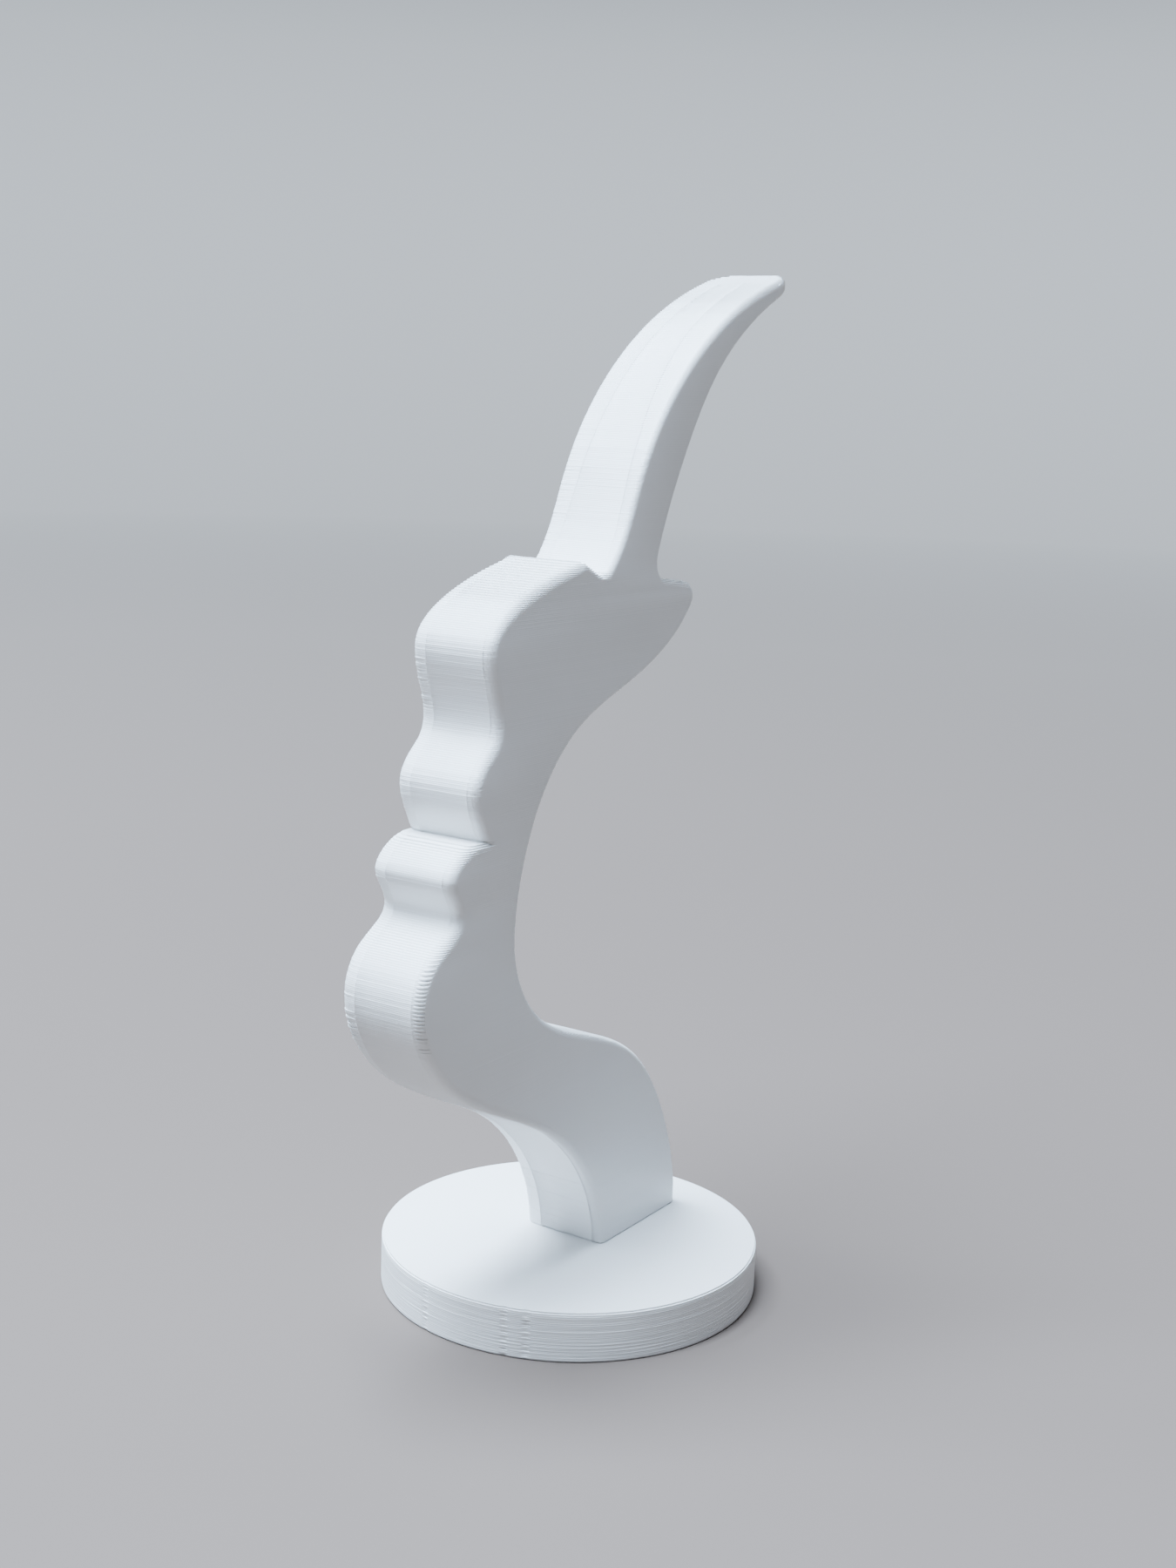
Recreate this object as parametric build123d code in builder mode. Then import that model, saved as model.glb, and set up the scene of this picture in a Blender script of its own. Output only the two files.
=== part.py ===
"""Eyeglasses display stand.

A round base disc carries a flat upright whose front edge is a stylised face in
profile. The bridge of the glasses sits in a saddle behind the nose, under a
forehead drawn out into a swept-back horn. The folded temples lie on a ledge
behind the horn. A tenon under the upright's foot fills a blind mortise in the
disc, and the foot's shoulder rests on the disc's top face.

Frame: millimetres, +Z up. The origin is the centre of the disc's underside.
The face looks along -Y, and the stand is symmetric about the YZ plane.
"""

import os

from build123d import *

os.makedirs("parts", exist_ok=True)

# Base disc
BASE_RADIUS = 25.0
BASE_THICKNESS = 6.5
BASE_TOP_ROUND = 0.5
BASE_BOTTOM_CHAMFER = 0.3

# Upright
WIDTH = 12.2
EDGE_ROUND = 0.8
TIP_PLAN_ROUND = 5.0
FOOT_FRONT_Y = -1.5
FOOT_BACK_Y = 17.2
HORN_TIP_Y = 39.6
LIP_CREASE_ROUND = 0.25
CREST_ROUND = 1.5
SADDLE_ROUND = 1.5
NOTCH_ROUND = 2.5
LOBE_ROUND = 2.0

# Tenon and mortise
TENON_INSET = 2.6
TENON_LENGTH = 4.0
MORTISE_CLEARANCE = 0.1
MORTISE_END_GAP = 0.3
TENON_CHAMFER = 0.4

# Side profile of the upright as (y, z) points, from the foot up the face,
# over the horn and back down the nape
NECK_AND_CHIN = [
    (FOOT_FRONT_Y, BASE_THICKNESS),
    (-4.3, 15.5),
    (-13.3, 25.0),
    (-27.5, 32.4),
    (-38.1, 40.3),
    (-40.9, 47.0),
    (-38.3, 53.4),
]
LIP_CREASE = (-28.9, 64.8)
LOWER_LIP = [(-33.9, 57.4), (-35.7, 61.6), (-33.4, 64.6), LIP_CREASE]
UPPER_LIP = [LIP_CREASE, (-30.6, 68.2), (-31.4, 71.8), (-29.7, 74.8), (-27.5, 77.2)]
CREST = (-10.4, 96.7)
NOSE = [(-28.0, 82.4), (-28.9, 88.0), (-24.0, 92.5), CREST]
SADDLE = (-6.0, 94.6)
HORN_TIP_TOP = (HORN_TIP_Y, 133.5)
HORN_TIP_BOTTOM = (HORN_TIP_Y, 131.7)
HORN_FRONT = [
    SADDLE,
    (-2.6, 98.6),
    (1.6, 107.5),
    (8.2, 116.9),
    (16.4, 123.9),
    (28.3, 130.1),
    HORN_TIP_TOP,
]
NOTCH = (5.4, 93.9)
HORN_BACK = [HORN_TIP_BOTTOM, (28.0, 126.3), (18.9, 119.0), (12.4, 109.7), (7.4, 99.6), NOTCH]
LOBE_TIP = (16.8, 92.7)
NAPE_FOOT = (FOOT_BACK_Y, 9.5)
NAPE = [
    LOBE_TIP,
    (11.5, 86.4),
    (0.0, 80.8),
    (-11.7, 75.6),
    (-17.7, 69.2),
    (-21.8, 59.3),
    (-22.1, 49.2),
    (-16.9, 41.6),
    (-5.9, 36.6),
    (5.8, 30.9),
    (12.5, 22.7),
    NAPE_FOOT,
]

FOOT_LENGTH = FOOT_BACK_Y - FOOT_FRONT_Y
FOOT_CENTRE_Y = (FOOT_BACK_Y + FOOT_FRONT_Y) / 2
TENON_WIDTH = WIDTH - 2 * TENON_INSET
TENON_DEPTH = FOOT_LENGTH - 2 * TENON_INSET


def side_profile():
    """Closed outline of the upright seen from the side, without the tenon."""
    with BuildLine() as outline:
        Spline(NECK_AND_CHIN + LOWER_LIP)
        Spline(UPPER_LIP + NOSE)
        Line(CREST, SADDLE)
        Spline(HORN_FRONT)
        Line(HORN_TIP_TOP, HORN_TIP_BOTTOM)
        Spline(HORN_BACK)
        Line(NOTCH, LOBE_TIP)
        Spline(NAPE)
        Line(NAPE_FOOT, (FOOT_BACK_Y, BASE_THICKNESS))
        Line((FOOT_BACK_Y, BASE_THICKNESS), (FOOT_FRONT_Y, BASE_THICKNESS))
    return outline.line


def across_at(shape, point):
    """Edges running across the upright at one (y, z) point of its profile."""
    across = shape.edges().filter_by(Axis.X)
    return across.filter_by(
        lambda edge: abs(edge.center().Y - point[0]) < 0.01
        and abs(edge.center().Z - point[1]) < 0.01
    )


with BuildPart() as base:
    Cylinder(BASE_RADIUS, BASE_THICKNESS, align=(Align.CENTER, Align.CENTER, Align.MIN))
    rims = base.edges().filter_by(GeomType.CIRCLE).sort_by(Axis.Z)
    fillet(rims[-1], radius=BASE_TOP_ROUND)
    chamfer(rims[0], length=BASE_BOTTOM_CHAMFER)
    with BuildSketch(Plane.XY.offset(BASE_THICKNESS)) as mortise:
        with Locations((0, FOOT_CENTRE_Y)):
            Rectangle(
                TENON_WIDTH + 2 * MORTISE_CLEARANCE,
                TENON_DEPTH + 2 * MORTISE_CLEARANCE,
            )
    extrude(amount=-(TENON_LENGTH + MORTISE_END_GAP), mode=Mode.SUBTRACT)


with BuildPart() as upright:
    with BuildSketch(Plane.YZ) as side:
        with BuildLine():
            add(side_profile())
        make_face()
    extrude(amount=WIDTH / 2, both=True)
    fillet(across_at(upright, NOTCH), radius=NOTCH_ROUND)
    fillet(across_at(upright, LOBE_TIP), radius=LOBE_ROUND)
    fillet(across_at(upright, CREST), radius=CREST_ROUND)
    fillet(across_at(upright, SADDLE), radius=SADDLE_ROUND)
    fillet(across_at(upright, LIP_CREASE), radius=LIP_CREASE_ROUND)

    # The horn's tip is rounded in plan
    with BuildSketch(Plane.XY) as plan:
        with BuildLine():
            front_y = min(point[0] for point in NECK_AND_CHIN) - 5
            corners = [
                (-WIDTH / 2, front_y),
                (-WIDTH / 2, HORN_TIP_Y),
                (WIDTH / 2, HORN_TIP_Y),
                (WIDTH / 2, front_y),
            ]
            FilletPolyline(*corners, radius=TIP_PLAN_ROUND)
            Line(corners[-1], corners[0])
        make_face()
    extrude(amount=HORN_TIP_TOP[1] + 5, mode=Mode.INTERSECT)

    # Every long edge of the two side faces is rounded, down to the foot
    side_edges = upright.edges().filter_by(
        lambda edge: abs(abs(edge.center().X) - WIDTH / 2) < 0.01
        and edge.center().Z > BASE_THICKNESS + 0.1
    )
    fillet(side_edges, radius=EDGE_ROUND)

    with BuildSketch(Plane.XY.offset(BASE_THICKNESS)) as tenon:
        with Locations((0, FOOT_CENTRE_Y)):
            Rectangle(TENON_WIDTH, TENON_DEPTH)
    extrude(amount=-TENON_LENGTH)
    chamfer(upright.faces().sort_by(Axis.Z)[0].edges(), length=TENON_CHAMFER)


base.part.label = "base"
export_step(base.part, "parts/base.step")

upright.part.label = "upright"
export_step(upright.part, "parts/upright.step")
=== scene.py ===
import math

import bmesh
import bpy
import numpy as np
from mathutils import Matrix, Vector


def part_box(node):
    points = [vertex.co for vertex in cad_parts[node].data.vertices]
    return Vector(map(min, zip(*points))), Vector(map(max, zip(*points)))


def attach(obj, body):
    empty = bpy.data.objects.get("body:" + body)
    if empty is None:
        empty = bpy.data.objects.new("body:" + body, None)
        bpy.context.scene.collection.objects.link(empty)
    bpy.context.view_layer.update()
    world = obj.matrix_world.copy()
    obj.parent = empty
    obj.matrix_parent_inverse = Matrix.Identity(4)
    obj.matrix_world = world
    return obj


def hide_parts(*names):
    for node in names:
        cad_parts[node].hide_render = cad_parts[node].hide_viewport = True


MM = 0.001

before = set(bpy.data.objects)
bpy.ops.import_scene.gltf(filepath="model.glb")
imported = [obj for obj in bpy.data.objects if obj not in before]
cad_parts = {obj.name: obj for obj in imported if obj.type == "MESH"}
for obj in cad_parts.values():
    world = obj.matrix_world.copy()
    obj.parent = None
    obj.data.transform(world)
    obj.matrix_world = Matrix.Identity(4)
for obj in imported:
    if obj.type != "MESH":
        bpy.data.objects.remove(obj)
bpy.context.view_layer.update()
rng = np.random.default_rng(11)

# Print layers. The tenon's length is a whole number of them, so that the foot's
# shoulder lands on the disc.
TENON_LAYERS = 18
LAYER = (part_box("base")[1].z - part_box("upright")[0].z) / TENON_LAYERS
GROOVE = 0.012 * MM  # half the height of the groove between two layers
BEAD = 0.022 * MM  # how far a layer's edge curves in towards the groove
JITTER = 0.005 * MM  # how unevenly the layers lie on each other
MOST_SHIFT = 2 * JITTER  # the surface is drawn in by this, so it stays in the CAD box
FLAT_BELOW = 3 * GROOVE  # faces less tall than this are ledges or grooves
MERGE_WITHIN = 1e-7
SMOOTH_BELOW = 50  # degrees between two faces that still shade as one


class Section:
    """A CAD node's horizontal section at one height."""

    def __init__(self, triangles, z):
        low, high = triangles[:, :, 2].min(1), triangles[:, :, 2].max(1)
        near = triangles[(low < z) & (high > z)]
        hit, pos = [], []
        for a, b in ((0, 1), (1, 2), (2, 0)):
            pa, pb = near[:, a], near[:, b]
            cross = (pa[:, 2] - z) * (pb[:, 2] - z) < 0
            rise = np.where(cross, pb[:, 2] - pa[:, 2], 1.0)
            share = np.where(cross, (z - pa[:, 2]) / rise, 0.0)
            hit.append(cross)
            pos.append(pa[:, :2] + share[:, None] * (pb[:, :2] - pa[:, :2]))
        hit, pos = np.stack(hit, 1), np.stack(pos, 1)
        whole = hit.sum(1) == 2
        self.segments = pos[whole][hit[whole]].reshape(-1, 2, 2)
        across = np.abs(self.segments[:, :, 0])
        self.half_width = across.max() if len(self.segments) else 0.0

    def walls_at(self, x):
        """The y of each wall that a line at this x crosses, from front to back."""
        a, b = self.segments[:, 0], self.segments[:, 1]
        hit = (a[:, 0] - x) * (b[:, 0] - x) < 0
        a, b = a[hit], b[hit]
        share = (x - a[:, 0]) / (b[:, 0] - a[:, 0])
        ys = np.sort(a[:, 1] + share * (b[:, 1] - a[:, 1]))
        return ys[[0, 1, -2, -1]] if len(ys) > 4 else ys


def triangles_of(node):
    """A CAD node's triangles, as an array of corner positions."""
    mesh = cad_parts[node].data
    mesh.calc_loop_triangles()
    co = np.array([v.co for v in mesh.vertices], float)
    return co[np.array([t.vertices[:] for t in mesh.loop_triangles], int)]


def new_piece(name, verts, faces, material):
    """A mesh object whose layers shade smooth and whose ledges stay flat."""
    mesh = bpy.data.meshes.new(name)
    mesh.from_pydata([tuple(v) for v in verts], [], faces)
    bm = bmesh.new()
    bm.from_mesh(mesh)
    bmesh.ops.remove_doubles(bm, verts=bm.verts, dist=MERGE_WITHIN)
    bmesh.ops.dissolve_degenerate(bm, edges=bm.edges, dist=MERGE_WITHIN)
    bmesh.ops.recalc_face_normals(bm, faces=bm.faces)
    loose = [v for v in bm.verts if not v.link_faces]
    bmesh.ops.delete(bm, geom=loose, context="VERTS")
    bm.to_mesh(mesh)
    bm.free()
    mesh.set_sharp_from_angle(angle=math.radians(SMOOTH_BELOW))
    heights = np.array([[f(mesh.vertices[v].co.z for v in face.vertices)
                         for f in (min, max)] for face in mesh.polygons])
    tall = heights[:, 1] - heights[:, 0] > FLAT_BELOW
    mesh.polygons.foreach_set("use_smooth", tall)
    mesh.materials.append(material)
    piece = bpy.data.objects.new(name, mesh)
    bpy.context.scene.collection.objects.link(piece)
    return piece


# ---------------------------------------------------------------- materials
# (scale, stretch, detail) of the noise behind each part of the look
CLOUD_NOISE = (60, (1, 1, 1), 3)
BAND_NOISE = (300, (0.03, 0.03, 1), 2)
GLOSS_NOISE = (400, (0.05, 0.05, 1), 2)
GRAIN_NOISE = (2500, (1, 1, 1), 2)
DARK_WHITE, LIGHT_WHITE = (0.80, 0.80, 0.79, 1), (0.86, 0.86, 0.855, 1)
CLOUD_SHARE, BAND_SHARE = 0.5, 0.5
GLOSSIEST, DULLEST = 0.3, 0.42
GRAIN_STRENGTH, GRAIN_DEPTH = 0.12, 0.03 * MM


def white_plastic(name, seed):
    """White printed plastic: satin, slightly translucent, finely uneven."""
    mat = bpy.data.materials.new(name)
    mat.use_nodes = True
    nt = mat.node_tree
    nodes, links = nt.nodes, nt.links
    bsdf = nodes["Principled BSDF"]
    bsdf.inputs["Subsurface Weight"].default_value = 0.08
    bsdf.inputs["Subsurface Radius"].default_value = (1.0, 0.9, 0.8)
    bsdf.inputs["Subsurface Scale"].default_value = 0.0008
    bsdf.inputs["IOR"].default_value = 1.46
    coords = nodes.new("ShaderNodeTexCoord")

    def noise(kind, at):
        scale, stretch, detail = kind
        mapping = nodes.new("ShaderNodeMapping")
        mapping.inputs["Scale"].default_value = stretch
        mapping.inputs["Location"].default_value = (at, at * 0.7, at * 0.3)
        links.new(coords.outputs["Object"], mapping.inputs["Vector"])
        tex = nodes.new("ShaderNodeTexNoise")
        tex.inputs["Scale"].default_value = scale
        tex.inputs["Detail"].default_value = detail
        links.new(mapping.outputs["Vector"], tex.inputs["Vector"])
        return tex.outputs["Fac"]

    def mapped(value, low, high):
        ramp = nodes.new("ShaderNodeMapRange")
        ramp.inputs["From Min"].default_value = 0.3
        ramp.inputs["From Max"].default_value = 0.7
        ramp.inputs["To Min"].default_value = low
        ramp.inputs["To Max"].default_value = high
        links.new(value, ramp.inputs["Value"])
        return ramp.outputs["Result"]

    # Colour: a faint cloudiness, and layers a touch lighter or darker than others
    cloud = noise(CLOUD_NOISE, seed)
    bands = noise(BAND_NOISE, seed + 3)
    mix = nodes.new("ShaderNodeMix")
    mix.data_type = "RGBA"
    mix.inputs["A"].default_value = DARK_WHITE
    mix.inputs["B"].default_value = LIGHT_WHITE
    add = nodes.new("ShaderNodeMath")
    add.operation = "MULTIPLY_ADD"
    links.new(bands, add.inputs[0])
    add.inputs[1].default_value = BAND_SHARE
    links.new(mapped(cloud, 0.0, CLOUD_SHARE), add.inputs[2])
    links.new(add.outputs[0], mix.inputs["Factor"])
    links.new(mix.outputs["Result"], bsdf.inputs["Base Color"])

    # Finish: satin, glossier along some layers
    gloss = mapped(noise(GLOSS_NOISE, seed + 5), GLOSSIEST, DULLEST)
    links.new(gloss, bsdf.inputs["Roughness"])
    grain = noise(GRAIN_NOISE, seed + 7)
    bump = nodes.new("ShaderNodeBump")
    bump.inputs["Strength"].default_value = GRAIN_STRENGTH
    bump.inputs["Distance"].default_value = GRAIN_DEPTH
    links.new(grain, bump.inputs["Height"])
    links.new(bump.outputs["Normal"], bsdf.inputs["Normal"])
    return mat


upright_plastic = white_plastic("white_plastic_upright", 2.0)
base_plastic = white_plastic("white_plastic_base", 9.0)

# ---------------------------------------------------------------- upright
# Faint marks that the printer's shaking leaves along the front, beside its edges:
# a slightly tilted band on the -X side and a fine ridge on the +X side
MARK_HEIGHTS = [0, 97 * MM, 112 * MM, 125 * MM, 133 * MM]
BAND_END = [-3.6 * MM, -3.6 * MM, -3.0 * MM, -2.7 * MM, -2.5 * MM]
RIDGE_AT = [4.6 * MM, 4.6 * MM, 3.7 * MM, 1.9 * MM, 1.2 * MM]
BAND_START = -5.3 * MM
BAND_DEPTH = 0.2 * MM
RIDGE_HEIGHT = 0.07 * MM
RIDGE_HALF = 0.14 * MM
RIDGE_TOP_HALF = 0.01 * MM
# The ridges are highest on the foot and on the horn
GAIN_HEIGHTS = [8 * MM, 28 * MM, 97 * MM, 112 * MM]
GAIN = [2.2, 1.0, 1.0, 1.6]
# The band is most uneven at these heights
DASHES = [(41 * MM, 46 * MM), (80 * MM, 86 * MM)]
DASH_UNEVEN, PLAIN_UNEVEN = 0.4, 0.08

# Between these heights every other layer stands back at the chin's +X edge
TEETH_LOW, TEETH_HIGH = 41.5 * MM, 55.5 * MM
TEETH_DEPTH = 0.2 * MM
TEETH_SHARES = (0.85, 0.985)  # where across the half width

FOOT_GROOVE = 0.12 * MM  # the first layer above the disc is drawn in a little
SIDE_SHARE = 0.3  # the side faces are smoother than the front

# The face's side edges are rounder than the CAD's. That sets in over these heights.
CAD_ROUND = 0.8 * MM
LEFT_ROUND, RIGHT_ROUND = 1.5 * MM, 1.1 * MM
ROUND_FROM, ROUND_FULL = 14 * MM, 34 * MM
MOST_SLOPE = 3.0  # the rounding follows the slope of the face up to this
MOST_ROUND_SHARE = 0.3  # and takes no more than this of the wall's depth

# Columns of vertices, as shares of the half width near the edges and as places in
# between on the full width
EDGE_SHARES = [0.80, 0.86, 0.91, 0.945, 0.972, 0.99, 1.0]
MIDDLE_COLUMNS = [-1.2 * MM, 0.3 * MM]
FULL_HALF_WIDTH = 6.1 * MM

SADDLE_LOW, SADDLE_HIGH = 94 * MM, 97 * MM  # the saddle's two walls lie between
HORN_FROM_Y = -6 * MM
LEVELS = {-1: 1.0, 0: 0.0, 1: 1.0}  # a layer's three lines, and their share of BEAD
NUDGE = 0.0003 * MM  # keeps the middle column off the CAD mesh's own middle line
JUST_INSIDE, FURTHER_INSIDE = 0.9995, 0.99  # shares of a column's x that are sampled

# On a steep wall each layer leans with the surface. On a shallow one it leans
# less, so that the layers show as steps.
SLOPES, LEAN_SHARE = (0.7, 1.3, 2.4), (0.85, 0.4, 0.0)
MOST_LEAN = 0.06 * MM

FACE, CREST_BACK, HORN, BACK = range(4)  # the walls, from front to back


def column_places(half, z):
    """Where the columns of vertices stand across the width at one height."""
    band = np.interp(z, MARK_HEIGHTS, BAND_END)
    ridge = np.interp(z, MARK_HEIGHTS, RIDGE_AT)
    inner = [band - RIDGE_HALF, band, band + RIDGE_HALF, *MIDDLE_COLUMNS,
             ridge - RIDGE_HALF, ridge, ridge + RIDGE_HALF]
    edges = [share * half for share in EDGE_SHARES]
    scaled = [x * half / FULL_HALF_WIDTH for x in inner]
    return [-e for e in reversed(edges)] + scaled + edges


def marks(x, z, strength):
    """How far the front is drawn in by the shaking marks."""
    band = np.interp(z, MARK_HEIGHTS, BAND_END)
    ridge = np.interp(z, MARK_HEIGHTS, RIDGE_AT)
    height = RIDGE_HEIGHT * np.interp(z, GAIN_HEIGHTS, GAIN)
    depth = height
    if x < band:
        depth += strength * BAND_DEPTH * min(1.0, (band - x) / (band - BAND_START))
    if min(abs(x - ridge), abs(x - band)) < RIDGE_TOP_HALF:
        depth -= height * min(1.0, strength)
    return depth


def fillet_drop(distance, radius):
    """How far a fillet lies under the wall, at a distance in from the side face."""
    gap = max(0.0, radius - distance)
    return radius - math.sqrt(radius * radius - gap * gap)


def rounder(x, half, z, slope, depth):
    """Extra rounding of the front's side edges, along y, on a wall this deep."""
    distance = half - abs(x)
    radius = LEFT_ROUND if x < 0 else RIGHT_ROUND
    extra = fillet_drop(distance, radius) - fillet_drop(distance, CAD_ROUND)
    share = min(1.0, max(0.0, (z - ROUND_FROM) / (ROUND_FULL - ROUND_FROM)))
    extra *= share * min(MOST_SLOPE, math.sqrt(1 + slope * slope))
    return min(extra, MOST_ROUND_SHARE * depth)


def upright_mesh():
    """The upright as its stack of print layers, one closed surface."""
    tri = triangles_of("upright")
    bottom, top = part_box("upright")[0].z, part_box("upright")[1].z
    count = int((top - bottom) / LAYER)
    heights = bottom + (np.arange(count) + 0.5) * LAYER
    half = np.zeros(count)
    xs, y = [], []
    for k, z in enumerate(heights):
        section = Section(tri, z)
        half[k] = section.half_width
        places = column_places(half[k], z)
        walls = np.full((4, len(places)), np.nan)
        for c, x in enumerate(places):
            ys = section.walls_at(x * JUST_INSIDE + NUDGE)
            if len(ys) < 2:
                ys = section.walls_at(x * FURTHER_INSIDE + NUDGE)
            if len(ys) == 4 and SADDLE_LOW < z < SADDLE_HIGH:
                walls[:, c] = ys
            elif z > SADDLE_LOW and ys[0] > HORN_FROM_Y:
                walls[HORN, c], walls[BACK, c] = ys[0], ys[-1]
            else:
                walls[FACE, c], walls[BACK, c] = ys[0], ys[-1]
        xs.append(places)
        y.append(walls)
    y = np.stack(y, 1)
    cols = y.shape[2]
    for wall in y:  # a line that met the mesh exactly at a corner found no wall there
        for c in range(cols):
            found = np.where(~np.isnan(wall[:, c]))[0]
            span = np.arange(found.min(), found.max() + 1)
            wall[span, c] = np.interp(span, found, wall[found, c])

    slopes = np.nan_to_num(np.gradient(y, LAYER, axis=1))
    face_slope = slopes[FACE, :, cols // 2]

    # Above the saddle's floor a layer is split in two, the crest and the horn
    split = ~np.isnan(y[CREST_BACK])
    first_split = np.where(split.any(1))[0].min()
    last_face = np.where(~np.isnan(y[FACE]).all(1))[0].max()
    shift = rng.normal(0, JITTER, (count, 2)).clip(-MOST_SHIFT, MOST_SHIFT)
    dashed = [any(low < z < high for low, high in DASHES) for z in heights]
    uneven = [DASH_UNEVEN if dash else PLAIN_UNEVEN for dash in dashed]
    strength = rng.normal(1, uneven).clip(0.2, 2)
    opposite = {FACE: CREST_BACK, CREST_BACK: FACE, HORN: BACK, BACK: HORN}
    across_saddle = {CREST_BACK: HORN, HORN: CREST_BACK}

    def ring(wall, k, level, c):
        """One vertex of a wall, on one of a layer's lines from low to high."""
        z = heights[k] + level * (0.5 * LAYER - GROOVE)
        bead = LEVELS[level] * BEAD
        inset = MOST_SHIFT + (FOOT_GROOVE if k == TENON_LAYERS else 0)
        value = y[wall, k, c]
        if np.isnan(value):  # this column's wall has ended below, or starts above
            alive = np.where(~np.isnan(y[wall, :, c]))[0]
            above = k > alive.max()
            edge = alive.max() if above else alive.min()
            other = opposite[wall] if above else across_saddle[wall]
            z = heights[edge] + (0.5 if above else -0.5) * LAYER
            partner = y[other, edge, c]
            value = y[wall, edge, c]
            middle = value if np.isnan(partner) else (value + partner) / 2
            return (xs[edge][c] * (1 - (BEAD + MOST_SHIFT) / half[edge]), middle, z)
        side_inset = inset + SIDE_SHARE * (bead - shift[k, 0])
        x = xs[k][c] * (1 - side_inset / half[k])
        if wall == FACE and k % 2 and TEETH_LOW < z < TEETH_HIGH:
            if TEETH_SHARES[0] < xs[k][c] / half[k] < TEETH_SHARES[1]:
                fade = math.sin(math.pi * (z - TEETH_LOW) / (TEETH_HIGH - TEETH_LOW))
                value += TEETH_DEPTH * fade * strength[k]
        if wall in (FACE, HORN) and k >= TENON_LAYERS:
            value += marks(xs[k][c], z, strength[k])
        if wall == FACE and k >= TENON_LAYERS:
            behind = np.nanmin(y[CREST_BACK:, k, c])
            depth = max(0.0, behind - y[FACE, k, c])
            value += rounder(xs[k][c], half[k], z, face_slope[k], depth)
        lean = slopes[wall, k, c]
        lean *= np.interp(abs(lean), SLOPES, LEAN_SHARE) * level * LAYER / 2
        value += max(-MOST_LEAN, min(MOST_LEAN, lean))
        inward = 1 if wall in (FACE, HORN) else -1
        return (x, value + inward * (inset + bead) + shift[k, 1], z)

    def climb(wall, low, high):
        return [(wall, k, level) for k in range(low, high + 1) for level in LEVELS]

    # Every column has the same outline, and neighbours are joined by a band of quads
    outline = climb(FACE, 0, last_face)
    outline += climb(CREST_BACK, first_split, last_face)[::-1]
    outline += climb(HORN, first_split, count - 1)
    outline += climb(BACK, 0, count - 1)[::-1]
    where = {key: i for i, key in enumerate(outline)}
    verts = [ring(*key, c) for c in range(cols) for key in outline]
    size = len(outline)

    faces = []
    for c in range(cols - 1):
        for i in range(size):
            j = (i + 1) % size
            a, b = c * size, (c + 1) * size
            faces.append((a + i, a + j, b + j, b + i))

    # The two outermost columns are closed into the side faces
    for c in (0, cols - 1):

        def at(wall, k, level):
            return c * size + where[(wall, k, level)]

        for k in range(count):
            pairs = [(FACE, BACK)] if k < first_split else [(HORN, BACK)]
            if first_split <= k <= last_face:
                pairs.append((FACE, CREST_BACK))
            for p, q in pairs:
                for low, high in ((-1, 0), (0, 1)):
                    faces.append((at(p, k, low), at(p, k, high),
                                  at(q, k, high), at(q, k, low)))
                top_of_face = p == FACE and k + 1 > last_face
                if k + 1 < count and k + 1 != first_split and not top_of_face:
                    faces.append((at(p, k, 1), at(p, k + 1, -1),
                                  at(q, k + 1, -1), at(q, k, 1)))
            if k + 1 == first_split:
                n = k + 1
                faces.append((at(FACE, k, 1), at(FACE, n, -1), at(CREST_BACK, n, -1),
                              at(HORN, n, -1), at(BACK, n, -1), at(BACK, k, 1)))
    return new_piece("layered_upright", verts, faces, upright_plastic)


upright = upright_mesh()
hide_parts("upright")
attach(upright, "root")

# ---------------------------------------------------------------- base
SPOKES = 432
# Each layer of the rim wanders in and out a little, as a sum of waves
WAVE = 0.004 * MM
WAVES = 5
FEWEST_TURNS, MOST_TURNS = 2, 14
# Ragged upright streaks on the rim
STREAKS = [math.radians(a) for a in (-102, -74.5, -68)]
STREAK_HALF, STREAK_DEPTH = math.radians(1.3), 0.22 * MM
# Where the mortise is looked for: its section this far down, and within these radii
MORTISE_DOWN = 1.5 * MM
MORTISE_WITHIN, MORTISE_FLOOR_WITHIN = 20 * MM, 8 * MM
LEAST_FLOOR = 0.5 * MM


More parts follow.
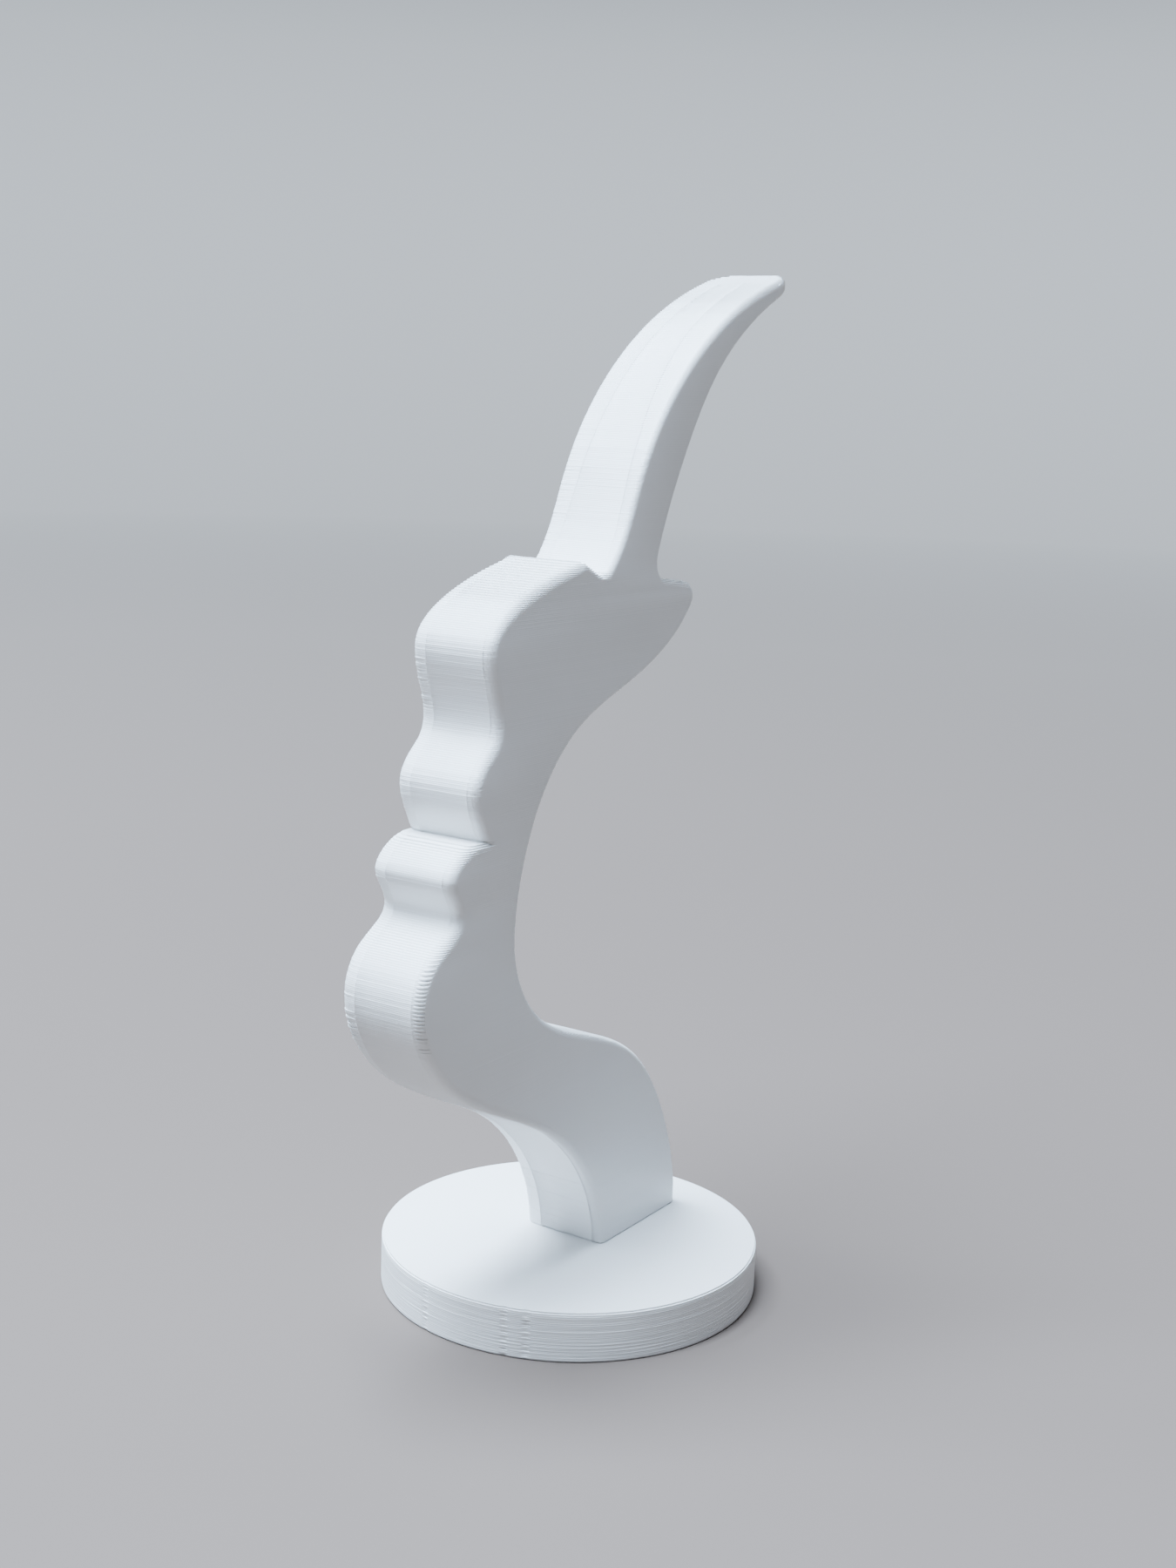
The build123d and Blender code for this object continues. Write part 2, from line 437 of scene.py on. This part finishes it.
def base_mesh():
    """The disc as its stack of print layers, with the mortise sunk in its top."""
    tri = triangles_of("base")
    low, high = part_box("base")
    count = int(round((high.z - low.z) / LAYER))
    step = (high.z - low.z) / count
    angles = [2 * math.pi * i / SPOKES for i in range(SPOKES)]
    rings = []
    for k in range(count):
        radius = Section(tri, low.z + (k + 0.5) * step).half_width
        uneven = rng.normal(0, JITTER)
        uneven = max(-MOST_SHIFT, min(MOST_SHIFT, uneven))
        waves = [(rng.integers(FEWEST_TURNS, MOST_TURNS),
                  rng.uniform(0, 2 * math.pi), rng.uniform(0, WAVE))
                 for _ in range(WAVES)]
        steps = rng.uniform(0, STREAK_DEPTH, len(STREAKS))
        wander = []
        for a in angles:
            inward = sum(size * (1 + math.sin(turns * a + start))
                         for turns, start, size in waves)
            for at, deep in zip(STREAKS, steps):
                off = abs(math.remainder(a - at, 2 * math.pi)) / STREAK_HALF
                inward += deep * max(0.0, 1 - off)
            wander.append(inward)
        for level, share in LEVELS.items():
            inset = share * BEAD + MOST_SHIFT - uneven
            outermost = (k, level) in ((0, -1), (count - 1, 1))
            gap = 0 if outermost else level * GROOVE
            z = low.z + (k + 0.5 + 0.5 * level) * step - gap
            rings.append([((radius - inset - w) * math.cos(a),
                           (radius - inset - w) * math.sin(a), z)
                          for a, w in zip(angles, wander)])
    verts = [vert for ring in rings for vert in ring]
    faces = []
    for k in range(len(rings) - 1):
        for i in range(SPOKES):
            j = (i + 1) % SPOKES
            faces.append((k * SPOKES + i, k * SPOKES + j,
                          (k + 1) * SPOKES + j, (k + 1) * SPOKES + i))
    faces.append(tuple(range(SPOKES)))

    # Mortise: its walls stand where the CAD section's inner loop is
    inner = Section(tri, high.z - MORTISE_DOWN).segments.reshape(-1, 2)
    inner = inner[np.hypot(inner[:, 0], inner[:, 1]) < MORTISE_WITHIN]
    x_half, y_low, y_high = inner[:, 0].max(), inner[:, 1].min(), inner[:, 1].max()
    centre_y, y_half = (y_low + y_high) / 2, (y_high - y_low) / 2
    floor = min(t[:, 2].max() for t in tri
                if np.hypot(*t.mean(0)[:2]) < MORTISE_FLOOR_WITHIN
                and t[:, 2].max() > low.z + LEAST_FLOOR)
    rim = (len(rings) - 1) * SPOKES
    mouth = []
    for i in range(SPOKES):
        dx, dy = verts[rim + i][0], verts[rim + i][1] - centre_y
        reach = min(x_half / max(abs(dx), 1e-9), y_half / max(abs(dy), 1e-9))
        mouth.append((dx * reach, centre_y + dy * reach))
    for sx in (-1, 1):
        for sy in (-1, 1):
            corner = (sx * x_half, centre_y + sy * y_half)
            nearest = min(range(SPOKES), key=lambda i: math.dist(mouth[i], corner))
            mouth[nearest] = corner
    for z in (high.z, floor):  # the disc's top round the mouth, then the walls
        start = len(verts)
        verts += [(px, py, z) for px, py in mouth]
        outer = rim if z == high.z else start - SPOKES
        for i in range(SPOKES):
            j = (i + 1) % SPOKES
            faces.append((outer + i, outer + j, start + j, start + i))
    faces.append(tuple(range(len(verts) - SPOKES, len(verts))))
    return new_piece("layered_base", verts, faces, base_plastic)


base = base_mesh()
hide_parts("base")
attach(base, "root")


# ---------------------------------------------------------------- studio
FLOOR_RADIUS, WALL_RADIUS, WALL_HEIGHT = 1.6, 2.6, 1.8
BEND_STEPS, AROUND = 16, 96
PAPER, PAPER_GLOW = (0.142, 0.112, 0.096), (0.79, 0.89, 1.0, 1)


def plain_material(name, colour, roughness):
    """An opaque material with little shine."""
    mat = bpy.data.materials.new(name)
    mat.use_nodes = True
    bsdf = mat.node_tree.nodes["Principled BSDF"]
    bsdf.inputs["Base Color"].default_value = (*colour, 1)
    bsdf.inputs["Roughness"].default_value = roughness
    bsdf.inputs["Specular IOR Level"].default_value = 0.2
    return mat


# The paper glows softly far from the object, by distance and by height
GLOW_BY_DISTANCE = [
    (0.0, 0.0), (0.06, 0.0), (0.115, 0.06), (0.19, 0.16), (0.27, 0.27),
    (0.385, 0.42), (0.5, 0.55), (0.615, 0.66), (0.8, 0.83), (0.96, 0.95),
]
GLOW_BY_HEIGHT = [(0.0, 1.0), (0.55, 1.0), (0.9, 0.04)]
GLOW_SIDE, GLOW_LEAST = (-0.548, 0.837, 0.0), 0.4  # brightest there, least opposite


def backdrop_material():
    """Pale matt paper that glows softly away from the object."""
    mat = plain_material("backdrop_pale", PAPER, 0.6)
    nt = mat.node_tree
    new, link = nt.nodes.new, nt.links.new
    coords = new("ShaderNodeTexCoord").outputs["Object"]

    def ramp(value, stops):
        node = new("ShaderNodeValToRGB")
        node.color_ramp.interpolation = "B_SPLINE"
        elements = node.color_ramp.elements
        while len(elements) < len(stops):
            elements.new(1.0)
        for element, (place, glow) in zip(elements, stops):
            element.position, element.color = place, (glow, glow, glow, 1)
        link(value, node.inputs["Fac"])
        return node.outputs["Color"]

    def multiply(a, b):
        node = new("ShaderNodeMath")
        node.operation = "MULTIPLY"
        link(a, node.inputs[0])
        link(b, node.inputs[1])
        return node.outputs[0]

    split = new("ShaderNodeSeparateXYZ")
    link(coords, split.inputs[0])
    flat = new("ShaderNodeVectorMath")
    flat.operation = "MULTIPLY"
    flat.inputs[1].default_value = (1 / WALL_RADIUS, 1 / WALL_RADIUS, 0)
    link(coords, flat.inputs[0])
    far = new("ShaderNodeVectorMath")
    far.operation = "LENGTH"
    link(flat.outputs[0], far.inputs[0])
    heading = new("ShaderNodeVectorMath")
    heading.operation = "NORMALIZE"
    link(flat.outputs[0], heading.inputs[0])
    toward = new("ShaderNodeVectorMath")
    toward.operation = "DOT_PRODUCT"
    toward.inputs[1].default_value = GLOW_SIDE
    link(heading.outputs[0], toward.inputs[0])
    facing = new("ShaderNodeMapRange")
    facing.interpolation_type = "SMOOTHSTEP"
    facing.inputs["From Min"].default_value = 0.0
    facing.inputs["From Max"].default_value = 0.9
    facing.inputs["To Min"].default_value = GLOW_LEAST
    link(toward.outputs["Value"], facing.inputs["Value"])
    glow = multiply(ramp(far.outputs["Value"], GLOW_BY_DISTANCE),
                    ramp(split.outputs["Z"], GLOW_BY_HEIGHT))
    bsdf = nt.nodes["Principled BSDF"]
    bsdf.inputs["Emission Color"].default_value = PAPER_GLOW
    link(multiply(glow, facing.outputs["Result"]), bsdf.inputs["Emission Strength"])
    return mat


def bowl(flat_radius, wall_radius, height):
    """A round floor that curves up into a wall all the way round."""
    profile = [(flat_radius, 0.0)]
    bend = wall_radius - flat_radius
    for i in range(1, BEND_STEPS + 1):
        a = math.pi / 2 * i / BEND_STEPS
        profile.append((flat_radius + bend * math.sin(a), bend * (1 - math.cos(a))))
    profile.append((wall_radius, height))
    verts, faces = [], []
    for r, z in profile:
        for i in range(AROUND):
            a = 2 * math.pi * i / AROUND
            verts.append((r * math.cos(a), r * math.sin(a), z))
    for k in range(len(profile) - 1):
        for i in range(AROUND):
            j = (i + 1) % AROUND
            faces.append((k * AROUND + j, k * AROUND + i,
                          (k + 1) * AROUND + i, (k + 1) * AROUND + j))
    faces.append(tuple(range(AROUND)))
    mesh = bpy.data.meshes.new("studio_floor")
    mesh.from_pydata(verts, [], faces)
    mesh.polygons.foreach_set("use_smooth", np.ones(len(faces), bool))
    mesh.materials.append(backdrop_material())
    piece = bpy.data.objects.new("studio_floor", mesh)
    bpy.context.scene.collection.objects.link(piece)
    return piece


floor = bowl(FLOOR_RADIUS, WALL_RADIUS, WALL_HEIGHT)


def softbox(name, position, target, size, power, colour):
    """A rectangular area light that points at its target."""
    light = bpy.data.lights.new(name, "AREA")
    light.shape = "RECTANGLE"
    light.size, light.size_y = size
    light.energy = power
    light.color = colour
    lamp = bpy.data.objects.new(name, light)
    lamp.location = position
    aim = Vector(target) - Vector(position)
    lamp.rotation_mode = "QUATERNION"
    lamp.rotation_quaternion = aim.to_track_quat("-Z", "Y")
    lamp.visible_camera = False
    bpy.context.scene.collection.objects.link(lamp)
    return lamp


MIDDLE = (0, 0, 0.07)
DAYLIGHT = (0.62, 0.79, 1.0)
softbox("key", (-1.1, -0.55, 0.75), MIDDLE, (0.25, 0.7), 11, DAYLIGHT)
softbox("overhead", (-0.2, -0.22, 1.15), MIDDLE, (0.7, 0.7), 118, DAYLIGHT)

world = bpy.data.worlds.new("studio")
world.use_nodes = True
fill = world.node_tree.nodes["Background"]
fill.inputs["Color"].default_value = (1.0, 0.88, 0.76, 1)
fill.inputs["Strength"].default_value = 0.05
bpy.context.scene.world = world

# ---------------------------------------------------------------- camera
TURN, DOWN, ROLL = math.radians(33.2), math.radians(11.0), math.radians(2.0)
EYE = Vector((0.1384, -0.2107, 0.1164))
back = Vector((math.sin(TURN) * math.cos(DOWN), -math.cos(TURN) * math.cos(DOWN),
               math.sin(DOWN)))
right = Vector((math.cos(TURN), math.sin(TURN), 0))
up = back.cross(right)
right, up = (math.cos(ROLL) * right + math.sin(ROLL) * up,
             math.cos(ROLL) * up - math.sin(ROLL) * right)
camera_data = bpy.data.cameras.new("camera")
camera_data.lens = 46
camera_data.sensor_width = 36
camera_data.clip_start, camera_data.clip_end = 0.01, 20
camera = bpy.data.objects.new("camera", camera_data)
camera.matrix_world = Matrix((
    (right.x, up.x, back.x, EYE.x),
    (right.y, up.y, back.y, EYE.y),
    (right.z, up.z, back.z, EYE.z),
    (0, 0, 0, 1),
))
bpy.context.scene.collection.objects.link(camera)
bpy.context.scene.camera = camera
